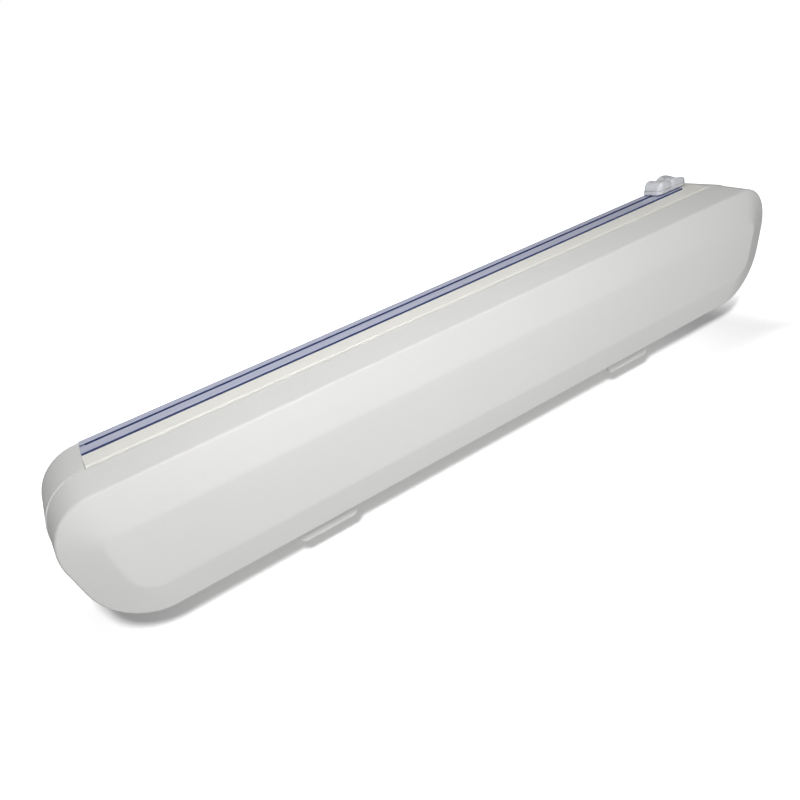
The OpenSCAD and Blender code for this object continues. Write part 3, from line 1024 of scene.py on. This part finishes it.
# the sheet brightens away from the object until it meets the backdrop
fsep = fnt.nodes.new("ShaderNodeSeparateXYZ")
fnt.links.new(fvec, fsep.inputs[0])
fglows = []
for axis, shift, start, stop in (("X", 0.0, 0.225, 0.30),
                                 ("Y", 0.01, 0.035, 0.10)):
    fadd = fnt.nodes.new("ShaderNodeMath")
    fadd.operation = "ADD"
    fadd.inputs[1].default_value = shift
    fnt.links.new(fsep.outputs[axis], fadd.inputs[0])
    fabs = fnt.nodes.new("ShaderNodeMath")
    fabs.operation = "ABSOLUTE"
    fnt.links.new(fadd.outputs[0], fabs.inputs[0])
    fglow = fnt.nodes.new("ShaderNodeMapRange")
    fglow.interpolation_type = "SMOOTHSTEP"
    fglow.inputs["From Min"].default_value = start
    fglow.inputs["From Max"].default_value = stop
    fglow.inputs["To Min"].default_value = 0.12
    fglow.inputs["To Max"].default_value = 1.1
    fnt.links.new(fabs.outputs[0], fglow.inputs["Value"])
    fglows.append(fglow)
fmost = fnt.nodes.new("ShaderNodeMath")
fmost.operation = "MAXIMUM"
fnt.links.new(fglows[0].outputs["Result"], fmost.inputs[0])
fnt.links.new(fglows[1].outputs["Result"], fmost.inputs[1])
fnt.links.new(fmost.outputs[0], fb.inputs["Emission Strength"])
floor.data.materials.append(fm)
floor.visible_diffuse = False
floor.visible_glossy = False

# a soft studio sky: an even part and one lobe for each direction
SKY = [
    ((0.0, 1.0, 0.0), 0.60),
    ((0.0, -0.5, -0.866), 1.05),
]
SKY_EVEN = 0.08
world = bpy.data.worlds.new("studio")
bpy.context.scene.world = world
world.use_nodes = True
wnt = world.node_tree
wbg = wnt.nodes["Background"]
wbg.inputs[0].default_value = (1, 1, 1, 1)
wco = wnt.nodes.new("ShaderNodeTexCoord")
total = None
for direction, gain in SKY:
    dot = wnt.nodes.new("ShaderNodeVectorMath")
    dot.operation = "DOT_PRODUCT"
    dot.inputs[1].default_value = direction
    wnt.links.new(wco.outputs["Generated"], dot.inputs[0])
    pos = wnt.nodes.new("ShaderNodeMath")
    pos.operation = "MAXIMUM"
    pos.inputs[1].default_value = 0.0
    wnt.links.new(dot.outputs["Value"], pos.inputs[0])
    sq = wnt.nodes.new("ShaderNodeMath")
    sq.operation = "MULTIPLY"
    wnt.links.new(pos.outputs[0], sq.inputs[0])
    wnt.links.new(pos.outputs[0], sq.inputs[1])
    gn = wnt.nodes.new("ShaderNodeMath")
    gn.operation = "MULTIPLY_ADD"
    gn.inputs[1].default_value = gain
    gn.inputs[2].default_value = SKY_EVEN if total is None else 0.0
    wnt.links.new(sq.outputs[0], gn.inputs[0])
    if total is None:
        total = gn.outputs[0]
    else:
        add = wnt.nodes.new("ShaderNodeMath")
        add.operation = "ADD"
        wnt.links.new(total, add.inputs[0])
        wnt.links.new(gn.outputs[0], add.inputs[1])
        total = add.outputs[0]
wnt.links.new(total, wbg.inputs[1])
wseen = wnt.nodes.new("ShaderNodeBackground")
wseen.inputs[0].default_value = (1, 1, 1, 1)
wseen.inputs[1].default_value = 1.0
wpath = wnt.nodes.new("ShaderNodeLightPath")
wmix = wnt.nodes.new("ShaderNodeMixShader")
wnt.links.new(wpath.outputs["Is Camera Ray"], wmix.inputs[0])
wnt.links.new(wbg.outputs[0], wmix.inputs[1])
wnt.links.new(wseen.outputs[0], wmix.inputs[2])
wnt.links.new(wmix.outputs[0], wnt.nodes["World Output"].inputs[0])
bpy.context.scene.view_settings.view_transform = "Standard"

floor_only = bpy.data.collections.new("floor_only")
floor_only.objects.link(floor)


def area(name, loc, target, size, power, falloff="Quadratic",
         receives=None):
    d = bpy.data.lights.new(name, "AREA")
    d.energy = 1.0
    d.shape = "DISK"
    d.size = size
    d.use_nodes = True
    nt = d.node_tree
    em = nt.nodes["Emission"]
    fo = nt.nodes.new("ShaderNodeLightFalloff")
    fo.inputs["Strength"].default_value = power
    nt.links.new(fo.outputs[falloff], em.inputs["Strength"])
    o = bpy.data.objects.new(name, d)
    bpy.context.scene.collection.objects.link(o)
    o.location = loc
    v = Vector(target) - Vector(loc)
    o.rotation_euler = v.to_track_quat("-Z", "Y").to_euler()
    if receives is not None:
        o.light_linking.receiver_collection = receives
    return o


def on_object(o):
    """The light falls on the object alone; the sheet has its own lamp."""
    c = bpy.data.collections.new(o.name + "_receivers")
    for q in bpy.context.scene.collection.all_objects:
        if q.type == "MESH" and q.name != "studio_floor":
            c.objects.link(q)
    o.light_linking.receiver_collection = c


mid = (-0.02, -0.03, 0.0)
on_object(area("key", eye - right * 0.045 - down * 0.06 - fwd * 0.05, mid,
               0.05, 3.0, "Constant"))
on_object(area("fill_front", (-0.05, -0.38, 0.31), mid, 0.18, 0.94))
on_object(area("fill_top", (-0.08, 0.0, 0.36), mid, 0.18, 0.26))
area("sheet_lamp", eye - right * 0.018 - down * 0.034 - fwd * 0.03, mid,
     0.028, 15.0, "Constant", floor_only)
